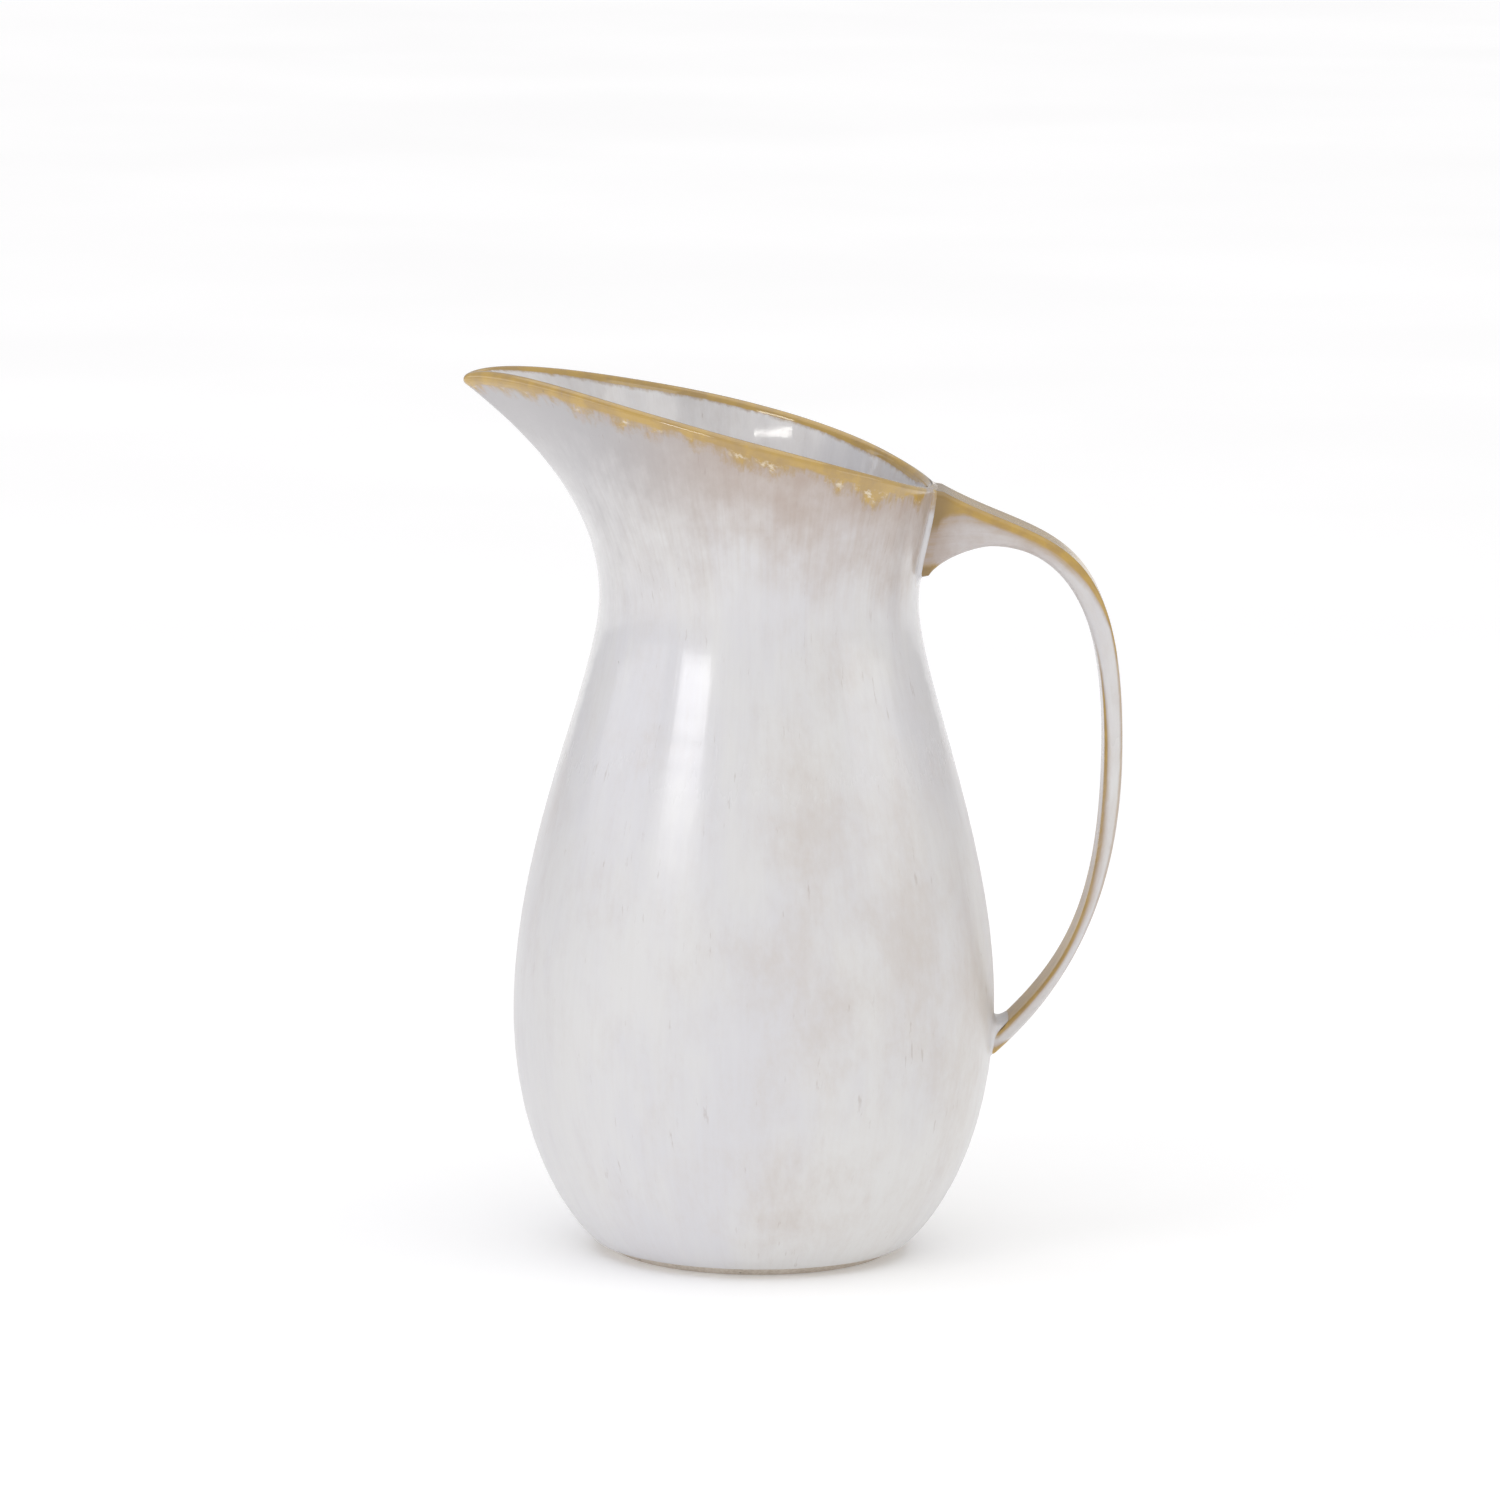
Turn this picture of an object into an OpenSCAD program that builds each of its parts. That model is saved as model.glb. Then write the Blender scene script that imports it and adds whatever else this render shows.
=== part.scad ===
// Stoneware table pitcher: a wheel-shaped vessel that is flared into a spout, with a pulled strap handle.
// Millimetres. The origin is the centre of the foot, +Z is up, the spout points to -X, the handle to +X.

/* [Vessel] */
// Radius of the glazed wall where its curve would meet the table
foot_r = 41.5; // [39:0.5:44]
// Largest radius of the belly
belly_r = 71.4; // [67:0.2:76]
// Height of the belly's widest ring
belly_z = 73; // [67:1:79]
// Radius of the waist below the neck
waist_r = 47.2; // [45:0.2:49]
// Height of the waist
waist_z = 195; // [190:1:200]

/* [Mouth and spout] */
// Half of the mouth's greatest width
mouth_half = 57.8; // [55:0.1:60]
// Distance from the axis to the back of the mouth
mouth_back = 52.3; // [51:0.1:54]
// Distance from the axis to the tip of the spout, at the wall's outer edge
spout_reach = 87.5; // [82:0.5:90]
// Height of the outer edge at the back of the mouth
back_z = 227; // [225:0.2:229]
// Height of the outer edge at the sides of the mouth
side_z = 243.6; // [241:0.2:246]
// Height of the outer edge at the spout's tip
tip_z = 256.8; // [254:0.2:259]
// Lean of the wall from the vertical at the back of the mouth, degrees
back_flare = 8; // [5:1:11]
// Lean of the wall from the vertical at the spout's tip, degrees
spout_flare = 53; // [48:1:58]

/* [Walls, foot and glaze] */
// Thickness of the glazed wall at the belly
belly_wall = 5.4; // [4.5:0.1:6.5]
// Thickness of the glazed wall at the lip
lip_wall = 4; // [3.6:0.1:4.6]
// Thickness of every coat of glaze
glaze_t = 0.8; // [0.6:0.1:1]
// Height of the glazed floor inside
floor_z = 9; // [8:0.5:11]
// Height of the bare foot ring
foot_h = 3; // [2:0.5:4]
// Inner radius of the foot ring
foot_inner_r = 36; // [33:0.5:37]

/* [Handle] */
// Distance from the axis to the outermost point of the handle
handle_reach = 107.5; // [105:0.5:111]
// Thickness of the strap at its outermost point
strap_t = 5.4; // [5:0.1:6]
// Width of the strap at the mouth
strap_w_top = 25; // [23:0.5:27]
// Width of the strap at the belly
strap_w_low = 20; // [18:0.5:22]
// Largest radius of the strap's edges
strap_edge_r = 2; // [1.4:0.1:2.2]
// Reach of the filled fillet at the upper joint
upper_fillet = 2.2; // [1.6:0.1:2.6]
// Reach of the filled fillet on top of the lower joint
lower_fillet = 5.5; // [4:0.5:6]

/* [Hidden] */

// Number of points around the vessel: a multiple of 4, so that spout, sides and back each get one
around = 40;
// Spans along the lower wall, the upper wall and the neck
low_spans = 7;
up_spans = 6;
neck_spans = 8;
// Spans over the lip's round edge
lip_spans = 4;
// Share of the neck, from the waist to the lip, that the plain glaze covers before the amber rim starts
rim_start = 0.86;
// Halvings in the search for the place where a curve reaches a height
halvings = 24;
// Radius of the flat middle of the floor inside
floor_flat_r = 28;
// How far the lower wall's curve runs out and up from the foot before it bends upright
foot_spread = [12, 4.5];
// Same for the floor inside, from its flat middle
basin_spread = [28, 1];
// Share of the belly's height above which the wall is nearly upright, outside and inside
upright_share = [0.433, 0.49];
// How far the wall runs nearly upright above the belly's widest ring and below the waist
belly_pull = 50;
waist_pull = 23;

// Wall curves in the (radius, height) plane, as cubic Bezier points
low_curve = [[foot_r, 0], [foot_r + foot_spread[0], foot_spread[1]],
    [belly_r, belly_z * upright_share[0]], [belly_r, belly_z]];
up_curve = [[belly_r, belly_z], [belly_r, belly_z + belly_pull], [waist_r, waist_z - waist_pull],
    [waist_r, waist_z]];

// How far the neck rises straight from the waist, at the back and what the spout adds
waist_rise = [10, 7];
// How far below the lip the neck's flare begins, at the back and what the spout adds
flare_drop = [12, 12];
// Half width of the round back of the mouth
mouth_round = 23.5;
// Bend of the rim behind its widest place: distance from the axis, height below the sides
rim_behind = [36, 9.5];
// Bend of the rim ahead of its widest place: distance from the axis, height above the sides
rim_ahead = [30, 8.2];
// Point that shapes the beak of the spout: distance from the axis, half width, height above the tip
beak = [77.2, 11, 5];

// Height of the strap's outer face above the outer edge at the back of the mouth
strap_rise = 1.9;
// Height at which the handle's arch ends and its drop begins
arch_end_z = 150;
// Handle: outer edge, from the mouth over the top to the belly, then the inner edge, in the (x, z) plane
outer_arch = [[mouth_back, back_z + strap_rise], [83.8, 211.3], [handle_reach, 220.8],
    [handle_reach, arch_end_z]];
outer_drop = [[handle_reach, arch_end_z], [handle_reach, 105.4], [90.7, 78.1], [70.5, 60]];
handle_in = handle_reach - strap_t;
inner_web = [[49, 202.4], [51.8, 208.4], [63.5, 212.3], [68, 212.3]];
inner_arch = [[68, 212.3], [87.1, 212.3], [handle_in, 197.1], [handle_in, arch_end_z]];
inner_drop = [[handle_in, arch_end_z], [handle_in, 101.2], [91.2, 84.7], [67.5, 63.3]];
// Shares of the edge curves at which the web ends and at which the inner edge meets the belly
web_share = 0.24;
drop_share = 0.93;
// Spans along the web, the arch and the drop of the handle
web_spans = 4;
arch_spans = 7;
drop_spans = 9;
// Points on each rounded corner of the strap's section
corner_steps = 4;
// Least radius of the strap's edges, and the most of its half thickness that an edge takes
least_edge_r = 0.4;
edge_room = 0.85;
// Gap that keeps the strap's first and last ring off the curved wall
joint_gap = 0.05;
// Reach of the fillets on the strap's outer side, at the upper and lower joints
upper_fillet_out = 0.6;
lower_fillet_out = 0.8;
// Share of each side in the place of a fillet's middle; the corner has the rest
fillet_bow = 0.32;

// ---------- curves ----------

function bezier(p, t) =
    pow(1 - t, 3) * p[0] + 3 * pow(1 - t, 2) * t * p[1] + 3 * (1 - t) * t * t * p[2] + pow(t, 3) * p[3];

function bezier_slope(p, t) =
    3 * (pow(1 - t, 2) * (p[1] - p[0]) + 2 * (1 - t) * t * (p[2] - p[1]) + t * t * (p[3] - p[2]));

// Point of a wall curve moved inwards, square to the curve, by depth
function inset_point(p, t, depth) =
    let (s = bezier_slope(p, t))
    bezier(p, t) - depth * [s[1], -s[0]] / norm(s);

// Share of a rising curve at which it reaches a height
function share_at(p, z, low = 0, high = 1, n = halvings) =
    let (mid = (low + high) / 2)
    n == 0 ? mid
        : bezier(p, mid)[1] < z ? share_at(p, z, mid, high, n - 1)
        : share_at(p, z, low, mid, n - 1);

// Same for the inset curve
function inset_share_at(p, z, depth, low = 0, high = 1, n = halvings) =
    let (mid = (low + high) / 2)
    n == 0 ? mid
        : inset_point(p, mid, depth)[1] < z ? inset_share_at(p, z, depth, mid, high, n - 1)
        : inset_share_at(p, z, depth, low, mid, n - 1);

// ---------- vessel ----------

// Angle of point k around the vessel: 0 at the handle, 180 at the spout
function turn(k) = 360 * k / around;

// How far round towards the spout: 0 at the handle, 1 at the spout
function spoutness(a) = (1 - cos(a)) / 2;

// Outer edge of the rim, moved inwards by inset as seen from above
function rim_edge(a, inset) =
    let (half = abs(a > 180 ? a - 360 : a), side = a > 180 ? -1 : 1)
    let (tip_half = atan2(beak[1], spout_reach - beak[0]))
    let (back = [[mouth_back - inset, 0, back_z], [mouth_back - inset, mouth_round, back_z],
        [rim_behind[0], mouth_half - inset, side_z - rim_behind[1]], [0, mouth_half - inset, side_z]])
    let (front = [[0, mouth_half - inset, side_z],
        [-rim_ahead[0], mouth_half - inset, side_z + rim_ahead[1]],
        [inset * sin(tip_half) - beak[0], beak[1] - inset * cos(tip_half), tip_z + beak[2]],
        [inset / sin(tip_half) - spout_reach, 0, tip_z]])
    let (p = half <= 90 ? bezier(back, half / 90) : bezier(front, half / 90 - 1))
    [p[0], side * p[1], p[2]];

// Place on the neck from which the wall runs straight to the lip
function flare_start(a) =
    let (edge = rim_edge(a, 0), heading = atan2(edge[1], edge[0]), s = spoutness(a))
    let (back_r = mouth_back - flare_drop[0] * tan(back_flare))
    let (spout_r = spout_reach - (flare_drop[0] + flare_drop[1]) * tan(spout_flare))
    let (r = back_r + (spout_r - back_r) * s * s)
    [r * cos(heading), r * sin(heading), edge[2] - flare_drop[0] - flare_drop[1] * s];

// Vector from there to the lip, and its direction
function flare(a) = rim_edge(a, 0) - flare_start(a);
function flare_way(a) = flare(a) / norm(flare(a));

// Edge of the rim moved square to the wall by depth
function rim_point(a, depth) =
    let (way = flare_way(a))
    rim_edge(a, depth * way[2]) + [0, 0, depth * norm([way[0], way[1]])];

// Neck surface between the waist and the lip, moved inwards by depth at the waist and at the lip
function neck_point(a, t, waist_depth, lip_depth) =
    let (w = [(waist_r - waist_depth) * cos(a), (waist_r - waist_depth) * sin(a), waist_z])
    let (r = rim_point(a, lip_depth))
    bezier([w, w + [0, 0, waist_rise[0] + waist_rise[1] * spoutness(a)], r - flare(a), r], t);

function wall_ring(rz) = [for (k = [0:around - 1]) [rz[0] * cos(turn(k)), rz[0] * sin(turn(k)), rz[1]]];

function neck_ring(t, waist_depth, lip_depth) =
    [for (k = [0:around - 1]) neck_point(turn(k), t, waist_depth, lip_depth)];

// Rings up the outside, from the top of the foot ring to a share of the neck
function outer_rings(depth, top) =
    let (start = inset_share_at(low_curve, foot_h, depth))
    concat(
        [for (i = [0:low_spans])
            wall_ring(inset_point(low_curve, start + (1 - start) * i / low_spans, depth))],
        [for (i = [1:up_spans]) wall_ring(inset_point(up_curve, i / up_spans, depth))],
        [for (i = [1:neck_spans]) neck_ring(top * i / neck_spans, depth, depth)]);

// Rings up the inside, from the flat floor to a share of the neck; lift is what is left off the inner glaze
function inner_rings(lift, top) =
    let (wall = belly_wall - lift, bottom = floor_z - lift)
    let (basin = [[floor_flat_r, bottom], [floor_flat_r + basin_spread[0], bottom + basin_spread[1]],
        [belly_r - wall, belly_z * upright_share[1]], [belly_r - wall, belly_z]])
    concat(
        [for (i = [0:low_spans]) wall_ring(bezier(basin, i / low_spans))],
        [for (i = [1:up_spans]) wall_ring(inset_point(up_curve, i / up_spans, wall))],
        [for (i = [1:neck_spans]) neck_ring(top * i / neck_spans, wall, lip_wall - lift)]);

// Rings of the neck only, between two shares
function neck_rings(from, to, spans, waist_depth, lip_depth) =
    [for (i = [0:spans]) neck_ring(from + (to - from) * i / spans, waist_depth, lip_depth)];

// Rings over the round lip, from outside to inside, without its two edges
function lip_rings(depth) =
    [for (i = [1:lip_spans - 1])
        [for (k = [0:around - 1])
            let (a = turn(k), out = rim_point(a, depth), in = rim_point(a, lip_wall - depth))
            let (q = 180 * i / lip_spans)
            (out + in) / 2 + (out - in) / 2 * cos(q) + flare_way(a) * (lip_wall / 2 - depth) * sin(q)]];

function reversed(list) = [for (i = [len(list) - 1:-1:0]) list[i]];

// Solid skinned over rings of equally many points. A closed one joins its last ring to its first.
module skin(rings, closed = false) {
    n = len(rings[0]);
    m = len(rings);
    sides = [for (i = [0:closed ? m - 1 : m - 2])
        for (k = [0:n - 1])
            let (next = (i + 1) % m, k2 = (k + 1) % n)
            each [[i * n + k, next * n + k, next * n + k2], [i * n + k, next * n + k2, i * n + k2]]];
    ends = closed ? [] : [[for (k = [0:n - 1]) k], [for (k = [n - 1:-1:0]) (m - 1) * n + k]];
    polyhedron(points = [for (ring = rings) each ring], faces = concat(sides, ends), convexity = 10);
}

// ---------- handle ----------

// Radius of the outer wall, behind the handle, at a height near the mouth or near the belly
function back_radius(z) =
    let (back = [[waist_r, waist_z], [waist_r, waist_z + waist_rise[0]],
        [mouth_back - flare_drop[0] * tan(back_flare), back_z - flare_drop[0]], [mouth_back, back_z]])
    z >= back_z ? mouth_back
        : z >= waist_z ? bezier(back, share_at(back, z))[0]
        : z >= belly_z ? bezier(up_curve, share_at(up_curve, z))[0]
        : bezier(low_curve, share_at(low_curve, z))[0];

// Point moved along x until it lies on the outer wall
function on_wall(p) = [sqrt(pow(back_radius(p[2]), 2) - p[1] * p[1]) + joint_gap, p[1], p[2]];

function web_pair(t) = [bezier(outer_arch, web_share * t), bezier(inner_web, t)];
function arch_pair(t) = [bezier(outer_arch, web_share + (1 - web_share) * t), bezier(inner_arch, t)];
function drop_pair(t) = [bezier(outer_drop, t), bezier(inner_drop, drop_share * t)];

// Outer and inner edge of the strap at each station
stations = concat(
    [for (i = [0:web_spans - 1]) web_pair(i / web_spans)],
    [for (i = [0:arch_spans - 1]) arch_pair(i / arch_spans)],
    [for (i = [0:drop_spans]) drop_pair(i / drop_spans)]);
last_station = len(stations) - 1;

// Section of the strap at a station: a rectangle with round corners, grown by grow on every side
function strap_ring(i, grow) =
    let (out = stations[i][0], in = stations[i][1], mid = (out + in) / 2)
    let (across = (out - in) / norm(out - in), half_t = norm(out - in) / 2 + grow)
    let (half_w = (strap_w_top + (strap_w_low - strap_w_top) * i / last_station) / 2 + grow)
    let (r = min(max(strap_edge_r + grow, least_edge_r), half_t * edge_room))
    [for (c = [0:3])
        for (j = [0:corner_steps])
            let (q = 90 * c + 90 * j / corner_steps)
            let (y = (c == 0 || c == 3 ? 1 : -1) * (half_w - r) + r * cos(q))
            let (s = (c < 2 ? 1 : -1) * (half_t - r) + r * sin(q))
            [mid[0] + across[0] * s, y, mid[1] + across[1] * s]];

// Rings along the whole strap; the first and last lie on the vessel's wall
function strap_rings(grow) =
    [for (i = [0:last_station])
        let (ring = strap_ring(i, grow))
        i == 0 || i == last_station ? [for (p = ring) on_wall(p)] : ring];

// Fillet around the strap where it meets the wall: small on the strap's outer side, large on its inner side
module joint_fillet(at, neighbour, reach) {
    foot = [for (p = strap_ring(at, 0)) on_wall(p)];
    along = strap_ring(neighbour, 0);
    count = len(foot);
    wide = [for (k = [0:count - 1])
        let (inward = 0.5 - 0.5 * sin(360 * (k + 0.5) / count))
        reach[0] + (reach[1] - reach[0]) * pow(inward, 3)];
    order = neighbour > at ? [0:count - 1] : [count - 1:-1:0];
    skin([for (k = order)
        let (strap_side = foot[k] + (along[k] - foot[k]) / norm(along[k] - foot[k]) * wide[k])
        let (wall_side = on_wall(strap_ring(at, wide[k])[k]))
        let (middle = (strap_side + wall_side) * fillet_bow + foot[k] * (1 - 2 * fillet_bow))
        [foot[k] + [joint_gap, 0, 0], strap_side, middle, wall_side]],
        closed = true);
}

// ---------- sub-parts ----------

// Fired clay shell of the vessel, under the glaze
module vessel_body() {
    color([0.80, 0.70, 0.58])
        skin(concat(outer_rings(glaze_t, 1), lip_rings(glaze_t), reversed(inner_rings(glaze_t, 1))));
}

// Bare ring of clay that the pitcher stands on
module foot_ring() {
    top_r = inset_point(low_curve, inset_share_at(low_curve, foot_h, glaze_t), glaze_t)[0];
    edge = 0.8;
    color([0.72, 0.60, 0.47])
        rotate_extrude($fn = 96)
            polygon([[foot_inner_r + edge, 0], [foot_r - edge, 0], [foot_r, edge / 2], [top_r, foot_h],
                [foot_inner_r - edge, foot_h], [foot_inner_r, edge / 2]]);
}

// Clay strap of the handle, under its glaze
module handle_core() {
    color([0.80, 0.70, 0.58]) skin(strap_rings(-glaze_t));
}

// Slip that fills the corner around the handle's joint below the mouth
module upper_joint_slip() {
    color([0.90, 0.89, 0.87])
        joint_fillet(0, 1, [upper_fillet_out, upper_fillet]);
}

// Slip that fills the corner around the handle's joint on the belly
module lower_joint_slip() {
    color([0.90, 0.89, 0.87])
        joint_fillet(last_station, last_station - 1, [lower_fillet_out, lower_fillet]);
}

// White glaze outside, from the foot ring to below the lip
module exterior_glaze() {
    color([0.86, 0.85, 0.84])
        skin(concat(outer_rings(0, rim_start), reversed(outer_rings(glaze_t, rim_start))), closed = true);
}

// White glaze inside, from the floor to below the lip
module interior_glaze() {
    color([0.84, 0.83, 0.81])
        skin(concat(inner_rings(glaze_t, rim_start), reversed(inner_rings(0, rim_start))));
}

// Amber glaze that breaks over the lip
module rim_glaze() {
    inner_waist = belly_wall - glaze_t;
    color([0.76, 0.62, 0.31])
        skin(concat(
            neck_rings(rim_start, 1, 2, 0, 0), lip_rings(0),
            reversed(neck_rings(rim_start, 1, 2, belly_wall, lip_wall)),
            neck_rings(rim_start, 1, 2, inner_waist, lip_wall - glaze_t), reversed(lip_rings(glaze_t)),
            reversed(neck_rings(rim_start, 1, 2, glaze_t, glaze_t))), closed = true);
}

// Glaze around the strap, between the two joints
module handle_glaze() {
    color([0.84, 0.80, 0.72])
        skin(concat(strap_rings(0), reversed(strap_rings(-glaze_t))), closed = true);
}

// Glaze in the recess inside the foot ring
module underside_glaze() {
    color([0.84, 0.83, 0.81])
        translate([0, 0, foot_h - glaze_t]) cylinder(r = foot_inner_r - 1, h = glaze_t, $fn = 96);
}

vessel_body();
foot_ring();
handle_core();
upper_joint_slip();
lower_joint_slip();
exterior_glaze();
interior_glaze();
rim_glaze();
handle_glaze();
underside_glaze();
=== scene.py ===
"""A glazed stoneware pitcher: smooth pieces of clay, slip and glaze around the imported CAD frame.

Lengths are in metres and angles in degrees, except where a comment says millimetres.
"""

from types import SimpleNamespace

import bpy
import numpy as np
from mathutils import Matrix, Vector


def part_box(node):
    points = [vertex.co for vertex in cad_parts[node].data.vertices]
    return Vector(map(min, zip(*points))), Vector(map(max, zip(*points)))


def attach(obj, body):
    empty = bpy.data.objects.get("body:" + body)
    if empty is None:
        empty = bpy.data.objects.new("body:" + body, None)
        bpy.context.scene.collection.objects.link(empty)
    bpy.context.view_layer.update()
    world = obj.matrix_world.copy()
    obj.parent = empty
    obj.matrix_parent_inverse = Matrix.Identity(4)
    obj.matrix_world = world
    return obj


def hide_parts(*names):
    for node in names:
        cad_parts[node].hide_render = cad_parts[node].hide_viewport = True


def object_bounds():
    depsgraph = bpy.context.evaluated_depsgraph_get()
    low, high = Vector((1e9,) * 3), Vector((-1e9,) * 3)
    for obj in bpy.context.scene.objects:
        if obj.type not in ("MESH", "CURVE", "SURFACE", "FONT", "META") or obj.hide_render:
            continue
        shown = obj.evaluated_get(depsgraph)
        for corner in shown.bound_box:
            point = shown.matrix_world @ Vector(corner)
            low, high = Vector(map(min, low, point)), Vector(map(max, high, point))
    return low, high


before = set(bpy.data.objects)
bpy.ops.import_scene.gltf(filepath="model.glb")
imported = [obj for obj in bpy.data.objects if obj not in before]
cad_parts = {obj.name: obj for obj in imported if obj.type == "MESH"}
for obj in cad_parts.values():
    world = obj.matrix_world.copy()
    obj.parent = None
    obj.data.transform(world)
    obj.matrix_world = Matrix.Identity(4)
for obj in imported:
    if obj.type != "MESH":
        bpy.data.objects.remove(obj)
CAD_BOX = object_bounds()

# Millimetres in a metre
MM = 1000


# ---- sizes from the frame ----

OUTSIDE_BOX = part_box("exterior_glaze")
INSIDE_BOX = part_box("interior_glaze")
RIM_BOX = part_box("rim_glaze")
STRAP_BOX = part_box("handle_glaze")
FOOT_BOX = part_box("foot_ring")
UNDER_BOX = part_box("underside_glaze")

GLAZE_T = UNDER_BOX[1].z - UNDER_BOX[0].z
BELLY_R = OUTSIDE_BOX[1].y
MOUTH_HALF = RIM_BOX[1].y
MOUTH_BACK = RIM_BOX[1].x
HANDLE_REACH = STRAP_BOX[1].x
STRAP_HALF_TOP = STRAP_BOX[1].y
FOOT_H = FOOT_BOX[1].z
FLOOR_Z = INSIDE_BOX[0].z + GLAZE_T

# ---- the CAD model's other sizes ----

FOOT_R = 0.0415
FOOT_INNER_R = 0.036
BELLY_Z = 0.073
WAIST_R = 0.0472
WAIST_Z = 0.195
SPOUT_REACH = 0.0875
BACK_Z = 0.227
SIDE_Z = 0.2436
TIP_Z = 0.2568
BACK_FLARE = 8
SPOUT_FLARE = 53
BELLY_WALL = 0.0054
LIP_WALL = 0.004
STRAP_T = 0.0054
STRAP_HALF_LOW = 0.010
STRAP_EDGE_R = 0.002
SLIP_T = 0.0005
RIM_START = 0.86

# Wall curves in the (radius, height) plane
INNER_R = BELLY_R - BELLY_WALL
LOW_CURVE = ((FOOT_R, 0), (FOOT_R + 0.012, 0.0045), (BELLY_R, BELLY_Z * 0.433), (BELLY_R, BELLY_Z))
UP_CURVE = ((BELLY_R, BELLY_Z), (BELLY_R, BELLY_Z + 0.050), (WAIST_R, WAIST_Z - 0.023), (WAIST_R, WAIST_Z))
BASIN_CURVE = ((0.028, FLOOR_Z), (0.056, FLOOR_Z + 0.001), (INNER_R, BELLY_Z * 0.49), (INNER_R, BELLY_Z))

# How far the neck rises straight, and how far its flare drops: at the back, and added at the spout
WAIST_RISE = (0.010, 0.007)
FLARE_DROP = (0.012, 0.012)
# Beak of the spout: distance from the axis, half width, height above the tip
BEAK = (0.0772, 0.011, 0.005)
# Angle within which the two sides of the spout round into each other
TIP_ROUND = 2.4

# Handle edges in the (x, z) plane
HANDLE_TOP_Z = 0.150
HANDLE_IN = HANDLE_REACH - STRAP_T
OUTER_ARCH = ((MOUTH_BACK, BACK_Z + 0.0019), (0.0838, 0.2113),
              (HANDLE_REACH, 0.2208), (HANDLE_REACH, HANDLE_TOP_Z))
OUTER_DROP = ((HANDLE_REACH, HANDLE_TOP_Z), (HANDLE_REACH, 0.1054), (0.0907, 0.0781), (0.0705, 0.060))
INNER_WEB = ((0.049, 0.2024), (0.0518, 0.2084), (0.0635, 0.2123), (0.068, 0.2123))
INNER_ARCH = ((0.068, 0.2123), (0.0871, 0.2123), (HANDLE_IN, 0.1971), (HANDLE_IN, HANDLE_TOP_Z))
INNER_DROP = ((HANDLE_IN, HANDLE_TOP_Z), (HANDLE_IN, 0.1012), (0.0912, 0.0847), (0.0675, 0.0633))
# Shares of the outer arch that the web takes up, and of the inner drop that the strap runs down
WEB_SHARE = 0.24
DROP_SHARE = 0.93
# Stations of the strap at which the web, the arch and the drop end
WEB_END, ARCH_END, DROP_END = 4, 11, 20
# Largest share of the strap's half thickness that its rounding takes up
EDGE_SHARE = 0.85
# How far the strap's ends are let into the wall, at the top and low down
TOP_SINK, LOW_SINK = 0.0017, 0.0012

# Taper of the foot ring's outside and inside, and the rounding of its corners: two at the floor, two on top
FOOT_OUT_TAPER, FOOT_IN_TAPER = 0.0006, 0.0008
FOOT_ROUNDING = (0.0010, 0.0012, 0.0003, 0.0003)
# Rise of the glaze pooled under the foot, in its middle
POOL_RISE = 0.0003

# Reach of the slip at the joints, on the strap's outer face, sides and inner face
TOP_FILLET = (0.0008, 0.0014, 0.0026)
LOW_FILLET = (0.0010, 0.0014, 0.0055)
# Stations from a joint to the place on the strap that its slip points to
FILLET_AHEAD = 0.5
# Angle from the handle's middle within which its joints lie
NEAR_HANDLE = 45

# The unevenness of thrown clay: mean depth, depth of its slow waves and fine rings, and the rings' spacing
PRESS, SLOW_PRESS, RING_PRESS, RING_SPACING = 0.00013, 0.000035, 0.000018, 0.0085
# Slow waves of the thrown wall: waves around it, radians of turn for each metre of height, phase
SLOW_WAVES = ((3, 31, 0.6), (2, -47, 2.1), (5, 83, 4.0))
# Height above the foot ring over which it sets in
PRESS_START = 0.010

# ---- mesh density ----

AROUND = 240
LOW_ROWS, UP_ROWS, NECK_ROWS, RIM_ROWS, LIP_ROWS, FLOOR_ROWS = 44, 48, 52, 10, 14, 12
WEB_ROWS, ARCH_ROWS, DROP_ROWS = 18, 54, 66
FILLET_ROWS, UNDER_ROWS, POOL_ROWS = 8, 20, 24
CORNER_STEPS, FACE_STEPS, SIDE_STEPS = 8, 12, 8
# Radius of the last ring around the middle of a disc
POLE_R = 0.0015


# ---- curves ----

def bezier(points, t):
    """Points at shares t of a cubic Bezier curve, one row for each share."""
    a, b, c, d = [np.asarray(p, float) for p in points]
    t = np.asarray(t, float)
    t = t.reshape(t.shape + (1,) * max(a.ndim, 1))
    return (1 - t) ** 3 * a + 3 * (1 - t) ** 2 * t * b + 3 * (1 - t) * t**2 * c + t**3 * d


def wall_points(curve, t, depth=0.0):
    """Points of a wall curve, moved inwards and square to it by depth."""
    step = 1e-4
    slope = bezier(curve, np.add(t, step)) - bezier(curve, np.subtract(t, step))
    slope /= np.linalg.norm(slope, axis=1, keepdims=True)
    return bezier(curve, t) - depth * np.stack([slope[:, 1], -slope[:, 0]], axis=1)


def share_at(curve, z):
    """Share of a rising curve at which it reaches a height."""
    t = np.linspace(0, 1, 2001)
    return float(np.interp(z, bezier(curve, t)[:, 1], t))


def spoutness(angles):
    """How far round towards the spout: 0 at the handle, 1 at the spout."""
    return (1 - np.cos(np.radians(angles))) / 2


def rim_edge(angles, inset):
    """Outer edge of the rim, moved inwards by inset (one for each angle), with a rounded spout."""
    from_handle = np.where(angles > 180, 360 - angles, angles)
    side = np.where(angles > 180, -1.0, 1.0)
    to_tip = 180 - from_handle
    rounded = 180 - (np.hypot(to_tip, TIP_ROUND) - TIP_ROUND * 0.5)
    exact, soft = rim_curve(from_handle, inset), rim_curve(rounded, inset)
    return np.stack([soft[:, 0], side * exact[:, 1], soft[:, 2]], axis=1)


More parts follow.
